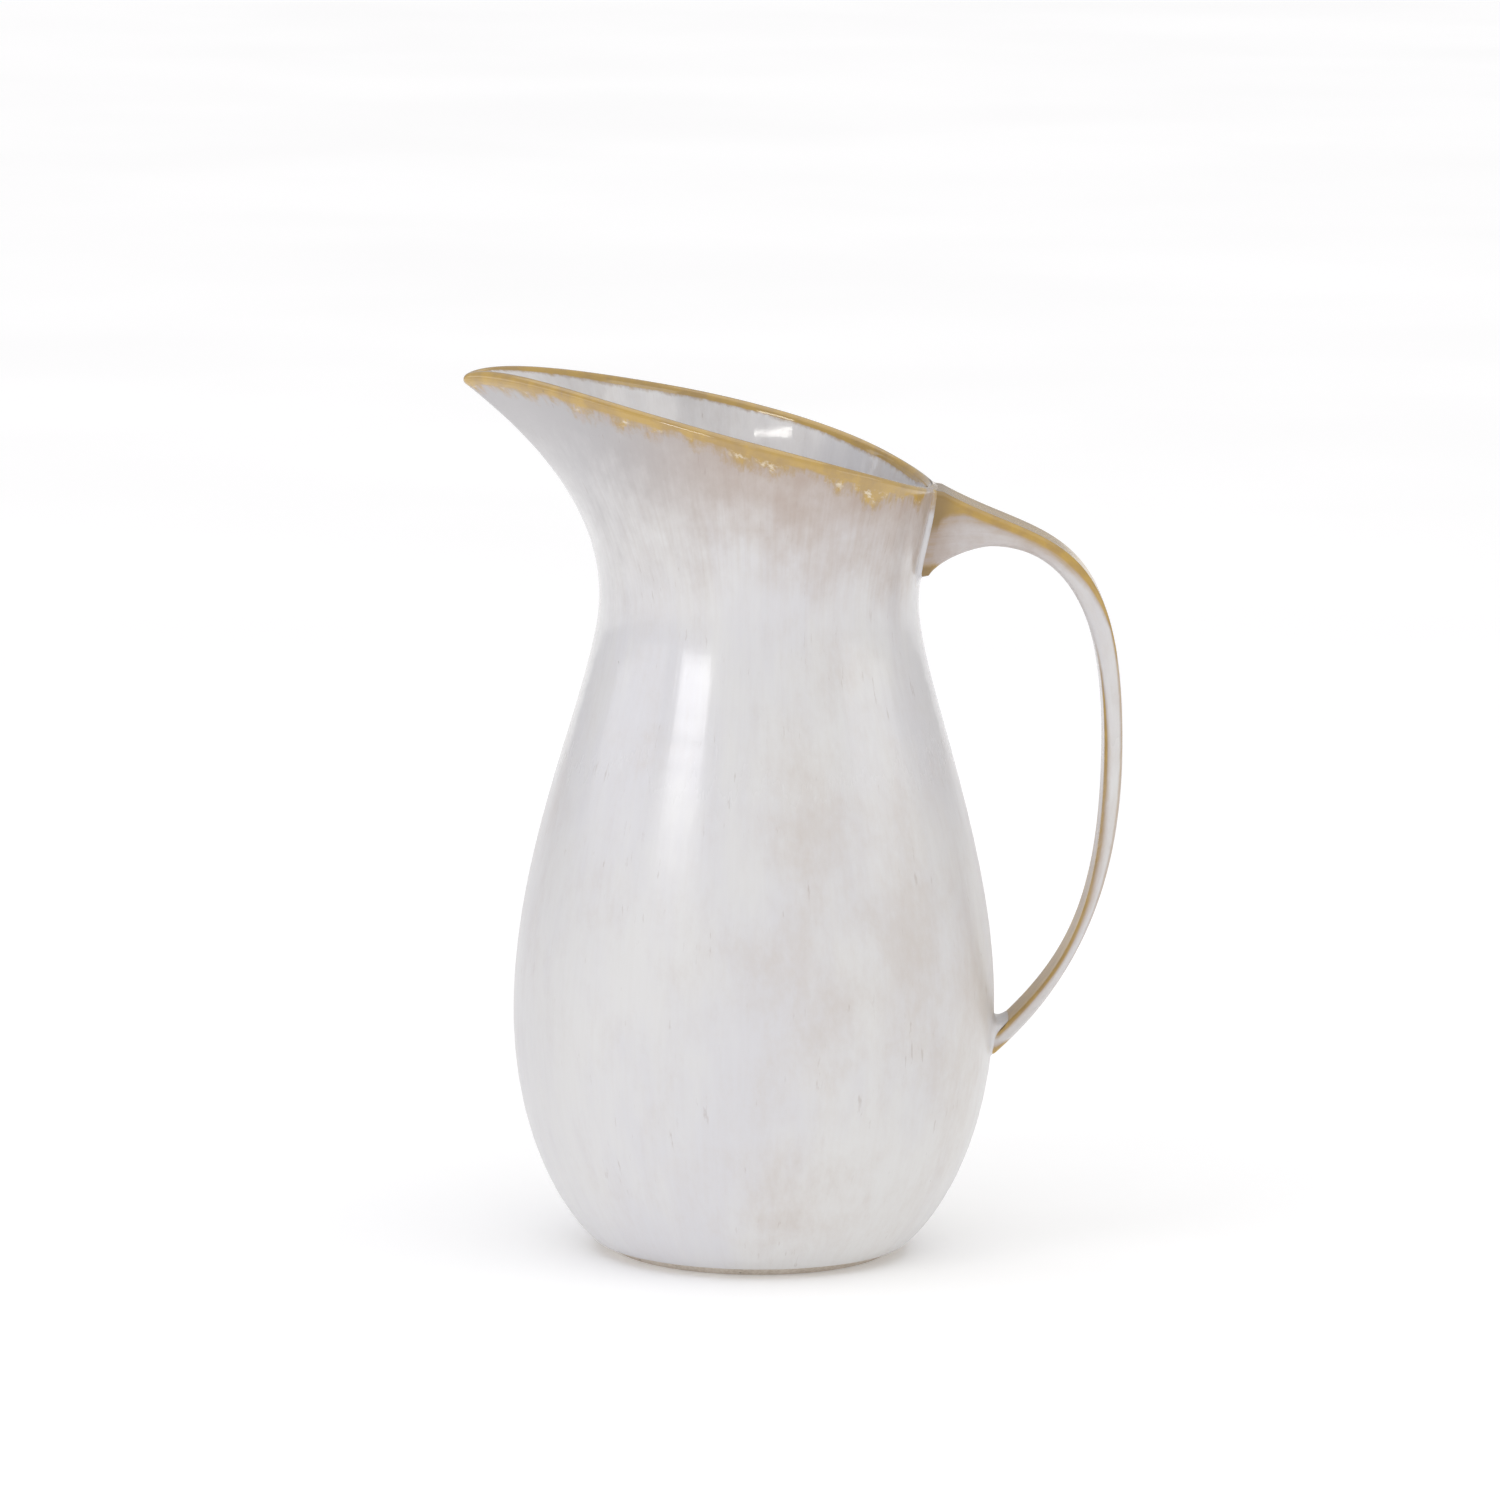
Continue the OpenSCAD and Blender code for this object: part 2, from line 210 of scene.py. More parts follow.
def rim_curve(half, inset):
    """Points of one side of the rim, at angles from 0 at the handle to 180 at the spout."""
    tip_half = np.arctan2(BEAK[1], SPOUT_REACH - BEAK[0])
    points = np.empty((len(half), 3))
    for i, (angle, cut) in enumerate(zip(half, inset)):
        if angle <= 90:
            curve = ((MOUTH_BACK - cut, 0, BACK_Z), (MOUTH_BACK - cut, 0.0235, BACK_Z),
                     (0.036, MOUTH_HALF - cut, SIDE_Z - 0.0095), (0, MOUTH_HALF - cut, SIDE_Z))
        else:
            curve = ((0, MOUTH_HALF - cut, SIDE_Z), (-0.030, MOUTH_HALF - cut, SIDE_Z + 0.0082),
                     (cut * np.sin(tip_half) - BEAK[0], BEAK[1] - cut * np.cos(tip_half), TIP_Z + BEAK[2]),
                     (cut / np.sin(tip_half) - SPOUT_REACH, 0, TIP_Z))
        points[i] = bezier(curve, angle / 90 if angle <= 90 else angle / 90 - 1)
    return points


def flare(angles):
    """Vectors up the last, straight stretch of the neck to the lip."""
    edge = rim_edge(angles, np.zeros(len(angles)))
    heading = np.arctan2(edge[:, 1], edge[:, 0])
    s = spoutness(angles)
    back_r = MOUTH_BACK - FLARE_DROP[0] * np.tan(np.radians(BACK_FLARE))
    spout_r = SPOUT_REACH - sum(FLARE_DROP) * np.tan(np.radians(SPOUT_FLARE))
    r = back_r + (spout_r - back_r) * s * s
    start_z = edge[:, 2] - FLARE_DROP[0] - FLARE_DROP[1] * s
    return edge - np.stack([r * np.cos(heading), r * np.sin(heading), start_z], axis=1)


def unit(vectors):
    """The vectors, each scaled to a length of 1."""
    return vectors / np.linalg.norm(vectors, axis=-1, keepdims=True)


def rim_points(angles, depth):
    """Edge of the rim, moved square to the wall by depth."""
    way = unit(flare(angles))
    points = rim_edge(angles, depth * way[:, 2])
    points[:, 2] += depth * np.linalg.norm(way[:, :2], axis=1)
    return points


def neck_grid(angles, shares, waist_depth, lip_depth):
    """Neck surface at shares from the waist to the lip."""
    turn = np.radians(angles)
    r = WAIST_R - waist_depth
    waist = np.stack([r * np.cos(turn), r * np.sin(turn), np.full(len(turn), WAIST_Z)], axis=1)
    rise = np.zeros_like(waist)
    rise[:, 2] = WAIST_RISE[0] + WAIST_RISE[1] * spoutness(angles)
    lip = rim_points(angles, lip_depth)
    return bezier((waist, waist + rise, lip - flare(angles), lip), shares)


def lathe_grid(angles, profile):
    """Rings around the axis through (radius, height) points."""
    turn = np.radians(angles)
    r, z = np.asarray(profile, float).T
    return np.stack([np.outer(r, np.cos(turn)), np.outer(r, np.sin(turn)),
                     np.repeat(z[:, None], len(turn), axis=1)], axis=2)


# ---- the vessel's glazed surface, in one grid ----

def neck_shares():
    """Shares of the neck, with rows close together near the lip."""
    plain = np.linspace(0, RIM_START, NECK_ROWS + 1)
    return np.concatenate([plain, np.linspace(RIM_START, 1, RIM_ROWS + 1)[1:]])


def outside_grid(angles):
    """The outside of the wall, from the top of the foot ring to the lip."""
    start = share_at(LOW_CURVE, FOOT_H)
    low = wall_points(LOW_CURVE, np.linspace(start, 1, LOW_ROWS + 1))
    up = wall_points(UP_CURVE, np.linspace(0, 1, UP_ROWS + 1)[1:])
    wall = lathe_grid(angles, np.vstack([low, up]))
    return np.concatenate([wall, neck_grid(angles, neck_shares()[1:], 0, 0)])


def lip_grid(angles):
    """The half round of the lip, between the outside and the inside."""
    out, inner = rim_points(angles, 0), rim_points(angles, LIP_WALL)
    way = unit(flare(angles))
    q = np.radians(180 * np.arange(1, LIP_ROWS) / LIP_ROWS)[:, None, None]
    return (out + inner) / 2 + (out - inner) / 2 * np.cos(q) + way * LIP_WALL / 2 * np.sin(q)


def inside_grid(angles):
    """The inside of the wall, from the lip down to the middle of the floor."""
    neck = neck_grid(angles, neck_shares()[1:], BELLY_WALL, LIP_WALL)
    up = wall_points(UP_CURVE, np.linspace(0, 1, UP_ROWS + 1)[1:], BELLY_WALL)
    basin = bezier(BASIN_CURVE, np.linspace(0, 1, LOW_ROWS + 1))
    floor = [(r, FLOOR_Z) for r in np.linspace(POLE_R, BASIN_CURVE[0][0], FLOOR_ROWS)[:-1]]
    wall = lathe_grid(angles, np.vstack([floor, basin, up]))
    return np.concatenate([wall, neck])[::-1]


def thrown(grid, normals):
    """The grid pressed in by up to 0.25 mm, as by fingers on a wheel: slow waves, and fine rings."""
    turn = np.arctan2(grid[:, :, 1], grid[:, :, 0])
    z = grid[:, :, 2]
    slow = sum(np.sin(count * turn + climb * z + phase) for count, climb, phase in SLOW_WAVES)
    rings = np.sin(2 * np.pi * z / RING_SPACING + 1.5 * np.sin(turn + 20 * z))
    press = PRESS + SLOW_PRESS * slow + RING_PRESS * rings
    lift = np.clip((z - FOOT_H) / PRESS_START, 0, 1)
    return grid - normals * (press * lift)[:, :, None]


def grid_normals(grid):
    """Unit normals of a grid that is closed around."""
    along = np.gradient(grid, axis=0)
    around = np.roll(grid, -1, axis=1) - np.roll(grid, 1, axis=1)
    return unit(np.cross(around, along))


def column_lengths(grid):
    """Distance up each column from the first row."""
    steps = np.linalg.norm(np.diff(grid, axis=0), axis=2)
    return np.vstack([np.zeros(grid.shape[1]), np.cumsum(steps, axis=0)])


def vessel_surface():
    """The glazed surface from the foot, over the lip, to the middle of the floor inside.

    below is the distance down the wall from the lip's crown, negative inside. drop is that in millimetres.
    """
    angles = np.arange(AROUND) * 360 / AROUND
    grid = np.concatenate([outside_grid(angles), lip_grid(angles), inside_grid(angles)])
    normals = grid_normals(grid)
    grid = thrown(grid, normals)
    outside_rows = LOW_ROWS + UP_ROWS + NECK_ROWS + RIM_ROWS + 1
    crown = outside_rows + LIP_ROWS // 2 - 1
    lengths = column_lengths(grid)
    below = lengths[crown] - lengths
    return {
        "grid": grid,
        "normals": grid_normals(grid),
        "angles": angles,
        "below": below,
        "drop": below * MM,
        "crown": crown,
        "rim_rows": (LOW_ROWS + UP_ROWS + NECK_ROWS, outside_rows + LIP_ROWS - 1 + RIM_ROWS),
    }


# ---- fields that the glaze reads ----

# Cloudy patches of thinner, warmer glaze: angle, height, half width in degrees, half height, strength
CLOUDS = (
    (284, 0.140, 12, 0.028, 0.8), (293, 0.086, 15, 0.024, 0.7), (277, 0.094, 8, 0.014, 0.5),
    (300, 0.180, 10, 0.014, 0.5), (313, 0.118, 11, 0.044, 0.7), (284, 0.028, 26, 0.016, 0.6),
    (256, 0.096, 9, 0.009, 0.3), (228, 0.107, 18, 0.010, 0.3), (333, 0.070, 15, 0.055, 0.8),
    (20, 0.110, 16, 0.050, 0.6), (55, 0.060, 15, 0.020, 0.6), (78, 0.140, 12, 0.035, 0.7),
    (105, 0.085, 14, 0.018, 0.6), (140, 0.150, 16, 0.022, 0.5), (165, 0.070, 18, 0.024, 0.6),
    (195, 0.130, 12, 0.034, 0.4),
)
# Width of the amber band outside and inside the lip's crown, in millimetres
BAND_OUT, BAND_IN = 3.5, 3.7
# How much more sharply the band ends inside than outside
INSIDE_SHARPNESS = 3
# Waves in the band's edge outside and inside: number around, millimetres, phase
OUT_WAVES = ((5, 0.25, 0.4), (13, 0.25, 5.1))
IN_WAVES = ((5, 0.12, 1.0), (11, 0.12, 3.0))
# Amber runs below the band: angle, length in millimetres, half width in degrees
RUNS = (
    (186, 2.4, 7), (198, 2.4, 4), (209, 2.4, 3), (224, 3.6, 4), (235, 2.4, 3), (243, 3.2, 3), (254, 2.2, 3),
    (265, 5.0, 4), (274, 5.4, 4), (292, 3.6, 4), (306, 6.0, 6), (318, 2.5, 4), (331, 4.5, 4), (18, 3.0, 7),
    (43, 4.0, 7), (68, 4.8, 6), (92, 2.5, 7), (117, 4.8, 5), (135, 2.0, 4), (155, 1.5, 4),
)
# Where the band is narrower, beside the handle, in the same terms
BARE = ((350, 5.5, 15), (10, 3, 10))
# Pale spots in the amber: angle, half width in degrees, millimetres below the lip, half height in millimetres
CREAMS = (
    (218, 3, 4.8, 1.0), (240, 3, 5.0, 0.9), (252, 2, 4.8, 0.8), (264, 5, 5.6, 0.9), (272, 4, 5.8, 0.9),
    (296, 4, 6.6, 1.8), (20, 3, 5.4, 1.0), (60, 4, 6.2, 1.2), (104, 3, 5.6, 1.0), (150, 3, 5.0, 1.0),
)
# Depth of the thin glaze below the lip, which also stands for painted shade under the lip, in millimetres,
# its waves, and its runs in the same terms
THIN_DEPTH = 21
THIN_WAVES = ((4, 2, 1.2), (9, 2, 0.3), (17, 1, 2.4))
THIN_RUNS = ((308, 7, 30), (195, 28, 55))
# Painted shade added to the thin glaze at the spout: angle, strength, half width in degrees
SPOUT_SHADE = ((195, 0.45, 60),)
# Radius, between waist and belly, at which streaks keep their true width
FLOW_RADIUS = 0.060
# Millimetres that mean no amber, and far below the lip
NO_AMBER, FAR_BELOW = -12.0, 50.0


def away(angles, centre):
    """Degrees between angles and a centre."""
    return (np.asarray(angles) - centre + 180) % 360 - 180


def bell(angles, centre, width):
    """1 at the centre and falling off smoothly around it."""
    return np.exp(-((away(angles, centre) / width) ** 2))


def bells(angles, places):
    """Sum of bells at places of (centre, size, width)."""
    return sum(size * bell(angles, centre, width) for centre, size, width in places)


def periodic(angles, waves):
    """Sum of waves of (count, size, phase) around the vessel."""
    turn = np.radians(angles)
    return sum(size * np.sin(count * turn + phase) for count, size, phase in waves)


def amber_field(surface):
    """Millimetres inside the amber band on the lip, and below zero outside it."""
    angles, drop = surface["angles"], surface["drop"]
    outside = BAND_OUT + periodic(angles, OUT_WAVES) + bells(angles, RUNS) - drop
    inside = INSIDE_SHARPNESS * (BAND_IN + drop + periodic(angles, IN_WAVES))
    return np.minimum(outside, inside) - bells(angles, BARE)


def thin_field(surface):
    """Thin, pinkish glaze below the outside of the lip, partly painted shade under it, reaching furthest down
    at the spout, where painted shade is added.
    """
    angles, drop = surface["angles"], surface["drop"]
    depth = THIN_DEPTH + periodic(angles, THIN_WAVES) + bells(angles, THIN_RUNS)
    fade = np.exp(-((np.maximum(drop, 0) / depth) ** 1.6)) * (1 + bells(angles, SPOUT_SHADE))
    return np.where(drop > 0, fade, 0.05)


def cloud_field(surface):
    """Cloudy patches outside, and an even little cloud inside."""
    z = surface["grid"][:, :, 2]
    total = sum(strength * bell(surface["angles"], angle, wide) * np.exp(-(((z - height) / high) ** 2))
                for angle, height, wide, high, strength in CLOUDS)
    return np.where(surface["drop"] > 0, np.clip(total, 0, 1), 0.2)


def cream_field(surface):
    """Pale spots in the amber."""
    return sum(bell(surface["angles"], angle, wide) * np.exp(-(((surface["drop"] - depth) / high) ** 2))
               for angle, wide, depth, high in CREAMS)


def flow_coordinates(surface):
    """A point for each vertex in a space where glaze runs straight down, so streaks follow the wall."""
    turn = np.radians(surface["angles"])
    below = surface["below"]
    x, y = [np.broadcast_to(FLOW_RADIUS * way, below.shape) for way in (np.cos(turn), np.sin(turn))]
    return np.stack([x, y, -below], axis=2)


# ---- mesh building ----

def ring_faces(rows, columns, spans):
    """Quads between closed rows of points, for a number of spans from the first row."""
    r, c = np.meshgrid(np.arange(spans), np.arange(columns), indexing="ij")
    r2, c2 = (r + 1) % rows, (c + 1) % columns
    quads = np.stack([r * columns + c, r * columns + c2, r2 * columns + c2, r2 * columns + c], axis=2)
    return quads.reshape(-1, 4).tolist()


def fan_faces(rows, columns):
    """Triangles from the first and last row to two middle points that follow the grid's own."""
    start, end, last = rows * columns, rows * columns + 1, (rows - 1) * columns
    turn = [(c, (c + 1) % columns) for c in range(columns)]
    return [(start, c2, c) for c, c2 in turn] + [(last + c, last + c2, end) for c, c2 in turn]


def rounded_edge(front, back, outward, steps=4):
    """Rows of a half circle from a skin's front edge to its back edge, bulging outward."""
    q = np.radians(180 * np.arange(1, steps) / steps)[:, None, None]
    half = np.linalg.norm(front - back, axis=1, keepdims=True) / 2
    return (front + back) / 2 + (front - back) / 2 * np.cos(q) + outward * half * np.sin(q)


def flat(grid):
    """A grid's values as one list of numbers or vectors."""
    return grid.reshape((-1,) + grid.shape[2:])


def with_middles(grid):
    """A grid's values as one list, followed by the middles of its first and last row."""
    ends = np.stack([grid[0].mean(axis=0), grid[-1].mean(axis=0)])
    return np.concatenate([flat(grid), ends])


def build_mesh(name, grid, normals, fields, capped):
    """A closed, smooth mesh over rows of points, held inside the CAD box, with normals and named fields.

    A capped one is closed by a fan at each end. Any other joins its last row to its first.
    """
    rows, columns = grid.shape[:2]
    faces = ring_faces(rows, columns, rows - 1 if capped else rows)
    if capped:
        faces += fan_faces(rows, columns)
    listed = with_middles if capped else flat
    mesh = bpy.data.meshes.new(name)
    mesh.from_pydata(np.clip(listed(grid), *np.array(CAD_BOX)).tolist(), [], faces)
    mesh.shade_smooth()
    for key, values in fields.items():
        values = listed(values)
        kind, slot = ("FLOAT_VECTOR", "vector") if values.ndim == 2 else ("FLOAT", "value")
        data = mesh.attributes.new(key, kind, "POINT").data
        data.foreach_set(slot, values.astype(np.float32).ravel())
    mesh.normals_split_custom_set_from_vertices(unit(listed(normals)).tolist())
    return mesh


def add_object(name, data):
    """An object in the scene that holds a mesh, a lamp or a camera."""
    thing = bpy.data.objects.new(name, data)
    bpy.context.scene.collection.objects.link(thing)
    return thing


def add_piece(name, mesh, material, slot, *nodes):
    """Puts a mesh in the scene as a piece on the root body that stands for its CAD nodes."""
    piece = add_object(name, mesh)
    mesh.materials.append(material)
    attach(piece, "root")
    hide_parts(*nodes)


def skin_mesh(name, front, normals, fields, round_first=False):
    """A closed coat of glaze: the front rows, and back rows that lie GLAZE_T below them."""
    back = front - normals * GLAZE_T
    edge, edge_normals = front[:0], front[:0]
    if round_first:
        edge = rounded_edge(back[0], front[0], unit(front[0] - front[1]))
        edge_normals = unit(edge - (front[0] + back[0]) / 2)
    grid = np.concatenate([front, back[::-1], edge])
    shade = np.concatenate([normals, -normals[::-1], edge_normals])
    spread = {key: np.concatenate([values, values[::-1], np.repeat(values[:1], len(edge), axis=0)])
              for key, values in fields.items()}
    return build_mesh(name, grid, shade, spread, capped=False)


def disc_skin_mesh(name, front, normals, fields):
    """The same for a coat whose last front row is the middle of a disc."""
    back = front - normals * GLAZE_T
    grid = np.concatenate([back[::-1], front])
    shade = np.concatenate([-normals[::-1], normals])
    spread = {key: np.concatenate([values[::-1], values]) for key, values in fields.items()}
    return build_mesh(name, grid, shade, spread, capped=True)


# ---- node graphs ----

class Graph:
    """Short calls that add nodes to one material or world. Most give back an output socket."""

    def __init__(self, owner, shader="Principled BSDF"):
        owner.use_nodes = True
        self.tree = owner.node_tree
        self.shader = self.tree.nodes[shader]

    def node(self, kind, settings=None, **inputs):
        """A node with its own settings, and a value or socket for each named input."""
        made = self.tree.nodes.new(kind)
        for key, value in (settings or {}).items():
            setattr(made, key, value)
        for key, value in inputs.items():
            self.feed(made.inputs[key.replace("_", " ")], value)
        return made

    def feed(self, socket, value):
        """Links a socket into another, or sets its value."""
        if isinstance(value, bpy.types.NodeSocket):
            self.tree.links.new(value, socket)
        else:
            socket.default_value = value

    def attribute(self, name, vector=False):
        made = self.node("ShaderNodeAttribute", {"attribute_name": name})
        return made.outputs["Vector" if vector else "Fac"]

    def place(self):
        return self.node("ShaderNodeTexCoord").outputs["Object"]

    def stretch(self, vector, scale, move=(0, 0, 0)):
        """A vector scaled and moved, to stretch and shift the noise that reads it."""
        made = self.node("ShaderNodeMapping", Vector=vector, Scale=scale, Location=move)
        return made.outputs["Vector"]

    def math(self, operation, a, b=0.0):
        made = self.node("ShaderNodeMath", {"operation": operation})
        self.feed(made.inputs[0], a)
        self.feed(made.inputs[1], b)
        return made.outputs[0]

    def times(self, a, b):
        return self.math("MULTIPLY", a, b)

    def total(self, *terms):
        """Sum of sockets, or of (socket, weight) pairs."""
        scaled = [self.times(*t) if isinstance(t, tuple) else t for t in terms]
        result = scaled[0]
        for term in scaled[1:]:
            result = self.math("ADD", result, term)
        return result

    def ramp(self, value, low, high, to_low=0.0, to_high=1.0, kind="SMOOTHSTEP"):
        """A number that goes from to_low to to_high as a value goes from low to high."""
        made = self.node("ShaderNodeMapRange", {"interpolation_type": kind}, Value=value,
                         From_Min=low, From_Max=high, To_Min=to_low, To_Max=to_high)
        return made.outputs["Result"]

    def noise(self, vector, size, detail=3.0, rough=0.55, warp=0.0):
        """Noise around 0.5, with features about size metres across."""
        made = self.node("ShaderNodeTexNoise", Vector=vector, Scale=1 / size, Detail=detail, Roughness=rough,
                         Distortion=warp)
        return made.outputs["Fac"]

    def specks(self, vector, spacing, radius, share):
        """Round specks: a share of cells about spacing metres apart holds one of up to that radius."""
        cells = self.node("ShaderNodeTexVoronoi", Vector=vector, Scale=1 / spacing, Randomness=1.0)
        dice = self.node("ShaderNodeSeparateColor", Color=cells.outputs["Color"])
        size = self.times(dice.outputs["Green"], radius / spacing)
        inside = self.math("SUBTRACT", size, cells.outputs["Distance"])
        soft = self.ramp(inside, -0.25 * radius / spacing, 0.25 * radius / spacing)
        chosen = self.math("LESS_THAN", dice.outputs["Red"], share)
        return self.times(soft, chosen)

    def mix(self, share, a, b):
        """Colour a with a share of colour b."""
        made = self.node("ShaderNodeMix", {"data_type": "RGBA"})
        self.feed(made.inputs[0], share)
        self.feed(made.inputs[6], a)
        self.feed(made.inputs[7], b)
        return made.outputs[2]

    def bump(self, height, distance):
        """Relief: a height of 1 stands this distance proud."""
        made = self.node("ShaderNodeBump", Height=height, Distance=distance, Strength=1.0)
        self.feed(self.shader.inputs["Normal"], made.outputs["Normal"])

    def set(self, **inputs):
        """A value or socket for each named input of the shader."""
        for key, value in inputs.items():
            self.feed(self.shader.inputs[key.replace("_", " ")], value)


def rgb(red, green, blue):
    """A colour given in 0 to 255 as the linear values that a shader takes."""
    share = np.array([red, green, blue]) / 255
    linear = np.where(share <= 0.04045, share / 12.92, ((share + 0.055) / 1.055) ** 2.4)
    return (*linear.tolist(), 1.0)


# ---- materials ----

MILK = rgb(218, 217, 216)
# White inside the vessel, lighter than outside: painted light in its hollow
MILK_PAINTED_LIGHT_INSIDE = rgb(234, 232, 232)
COOL = rgb(212, 211, 214)
WARM = rgb(203, 196, 191)
PINK = rgb(177, 160, 149)
# Grey of the painted shade on the spout's side
SHADE_GREY = rgb(176, 173, 174)
AMBER = rgb(189, 155, 80)
OCHRE = rgb(172, 141, 84)
# Olive of the painted shade at the handle's root
SHADE_OLIVE = rgb(142, 117, 76)
CREAM = rgb(229, 218, 196)
BROWN = rgb(112, 88, 66)
CLAY = rgb(218, 209, 198)
CLAY_DARK = rgb(194, 182, 168)
SLIP = rgb(230, 228, 227)

# Heights between which the glaze goes from satin, low down, to glossy, and its roughness at them
GLOSS_RISE, GLAZE_ROUGH = (0.085, 0.185), (0.33, 0.18)
# The same for its coat, and the share of the coat that is left where it is satin
COAT_RISE, COAT_ROUGH, SATIN_COAT = (0.125, 0.165), (0.22, 0.09), 0.45
# Depth of the relief on the glaze and on bare clay
GLAZE_RELIEF, CLAY_RELIEF = 0.00020, 0.00025

# Below, g is a material's graph, and f holds what the layers of its glaze read


def glaze_inputs(g):
    """The piece's fields, the place, and the noises that the layers share."""
    f = SimpleNamespace(flow=g.attribute("flow", vector=True), place=g.place())
    for field in ("amber", "thin", "cloud", "cream", "drop"):
        setattr(f, field, g.attribute(field))
    split = g.node("ShaderNodeSeparateXYZ", Vector=f.place)
    f.x, f.height = split.outputs["X"], split.outputs["Z"]
    f.fine = g.noise(g.stretch(f.flow, (1, 1, 0.06)), 0.0011, 3, 0.6)
    f.wide = g.noise(g.stretch(f.flow, (1, 1, 0.22), (5, 2, 1)), 0.006, 4, 0.62)
    f.run = g.noise(g.stretch(f.flow, (1, 1, 0.12), (2, 9, 4)), 0.0026, 4, 0.62)
    f.patch = g.noise(f.place, 0.016, 4, 0.6)
    return f


def milk_colour(g, f, milk):
    """Cloudy white: cool where thick, warmer where thin, and streaked towards the lip; painted lighter inside
    the vessel as painted light.
    """
    cloud = g.noise(f.place, 0.022, 6, 0.60, 0.3)
    broad = g.noise(g.stretch(f.place, (1, 1, 0.6), (3, 1, 7)), 0.055, 3)
    grain = g.noise(g.stretch(f.flow, (1, 1, 0.5), (7, 7, 7)), 0.0022, 4, 0.7)
    # Painted light: a lighter white inside the vessel
    white = g.mix(g.ramp(f.drop, -5.0, -1.0), MILK_PAINTED_LIGHT_INSIDE, milk)
    white = g.mix(g.ramp(g.total(broad, (f.wide, 0.35)), 0.52, 0.84), white, COOL)
    warm = g.total((cloud, 0.95), (f.cloud, 0.42), (f.wide, 0.40), (grain, 0.45))
    white = g.mix(g.ramp(warm, 0.82, 1.62), white, WARM)
    streaks = g.times(g.ramp(f.fine, 0.38, 0.72), g.ramp(f.thin, 0.0, 0.5, 0.08, 0.32))
    return g.mix(streaks, white, WARM)


def haze_and_shade_colour(g, f, colour):
    """Painted shade that greys the spout's side, and haze below the lip of thin glaze and painted shade:
    pinkish, or grey towards the spout.
    """
    mottle = g.noise(g.stretch(f.place, (1, 1, 0.8), (6, 5, 4)), 0.0065, 5, 0.62)
    haze_and_shade = g.total(f.thin, (f.run, 0.35), (f.patch, 0.90), (mottle, 0.80), (f.fine, 0.15))
    # Painted shade: greyer towards the spout's side of the vessel
    colour = g.mix(g.ramp(f.x, -0.075, -0.042, 0.26, 0.0), colour, SHADE_GREY)
    # Veil of thin glaze and painted shade below the lip: grey towards the spout, pinkish elsewhere
    veil_and_shade = g.mix(g.ramp(f.x, -0.055, 0.005), SHADE_GREY, PINK)
    return g.mix(g.times(g.ramp(haze_and_shade, 0.85, 2.40), g.ramp(f.thin, 0.02, 0.30)), colour, veil_and_shade)


def amber_colour(g, f, colour, runs):
    """Amber with a ragged, stained edge, a solid bead on the lip and pale flecks, and how far it covers."""
    ragged = g.noise(g.stretch(f.flow, (1, 1, 0.7), (1, 3, 5)), 0.0030, 5, 0.66)
    wander = g.math("SUBTRACT", ragged, 0.5)
    edge, solid = g.total(f.amber, (wander, 11.0 * runs)), g.total(f.amber, (wander, 2.0 * runs))
    stain = g.ramp(edge, -3.4, 1.0, 0.0, 0.8)
    colour = g.mix(stain, colour, g.mix(g.ramp(f.run, 0.35, 0.65), PINK, OCHRE))
    golden = g.mix(g.ramp(g.noise(f.place, 0.006, 3), 0.35, 0.7), AMBER, OCHRE)
    # Painted shade: olive in the amber where the cloud field is high, at the handle's root
    golden = g.mix(g.ramp(f.cloud, 0.4, 1.0, 0.0, 0.85), golden, SHADE_OLIVE)
    bead = g.times(g.ramp(f.drop, 3.6, 4.6, 1.0, 0.0), g.ramp(solid, -0.6, 0.8))
    covered = g.math("MAXIMUM", g.ramp(edge, -0.2, 2.6), bead)
    flecks = g.total(g.noise(g.stretch(f.flow, (1, 1, 1.6), (8, 8, 8)), 0.0024, 4, 0.65), (f.cream, 0.15))
    fleck = g.times(g.ramp(flecks, 0.50, 0.72, 0.0, 0.85), g.ramp(f.drop, 3.9, 5.0))
    return g.mix(covered, colour, g.mix(fleck, golden, CREAM)), covered


def marked_colour(g, f, colour):
    """Brown specks and short run marks; also gives the specks, which the relief reads."""
    brown = g.specks(g.stretch(f.flow, (1, 1, 0.55)), 0.0062, 0.00038, 0.14)
    colour = g.mix(g.times(brown, 0.32), colour, BROWN)
    run_mark = g.noise(g.stretch(f.flow, (1, 1, 0.16), (4, 4, 9)), 0.0013, 3, 0.6)
    mark = g.times(g.ramp(run_mark, 0.63, 0.72, 0.0, 0.27), g.ramp(f.patch, 0.48, 0.60))
    return g.mix(mark, colour, g.mix(0.5, BROWN, PINK)), brown


def glaze_surface(g, f, covered, brown, runs, coat):
    """Satin low down and glossy at the shoulder, smoother inside and on the amber, with a faint relief."""
    outside = g.ramp(f.drop, -3.0, 0.0, 0.25, 1.0)
    satin = g.ramp(f.height, *GLOSS_RISE, *GLAZE_ROUGH)
    rough = g.total(satin, (f.wide, 0.10), (covered, -0.08))
    gloss = g.ramp(f.height, *COAT_RISE, SATIN_COAT * coat, coat)
    g.set(Roughness=g.times(rough, outside), IOR=1.52)
    g.set(Coat_Weight=g.total(gloss, (covered, 0.4 * runs)))
    g.set(Coat_Roughness=g.ramp(f.height, *COAT_RISE, *COAT_ROUGH))
    peel, swell = g.noise(f.place, 0.0022, 2, 0.5), g.noise(f.place, 0.013, 2, 0.5)
    relief = g.total((f.fine, 0.20), (peel, 0.16), (swell, 0.75), (covered, -0.35), (brown, -0.5))
    g.bump(g.times(relief, outside), GLAZE_RELIEF)


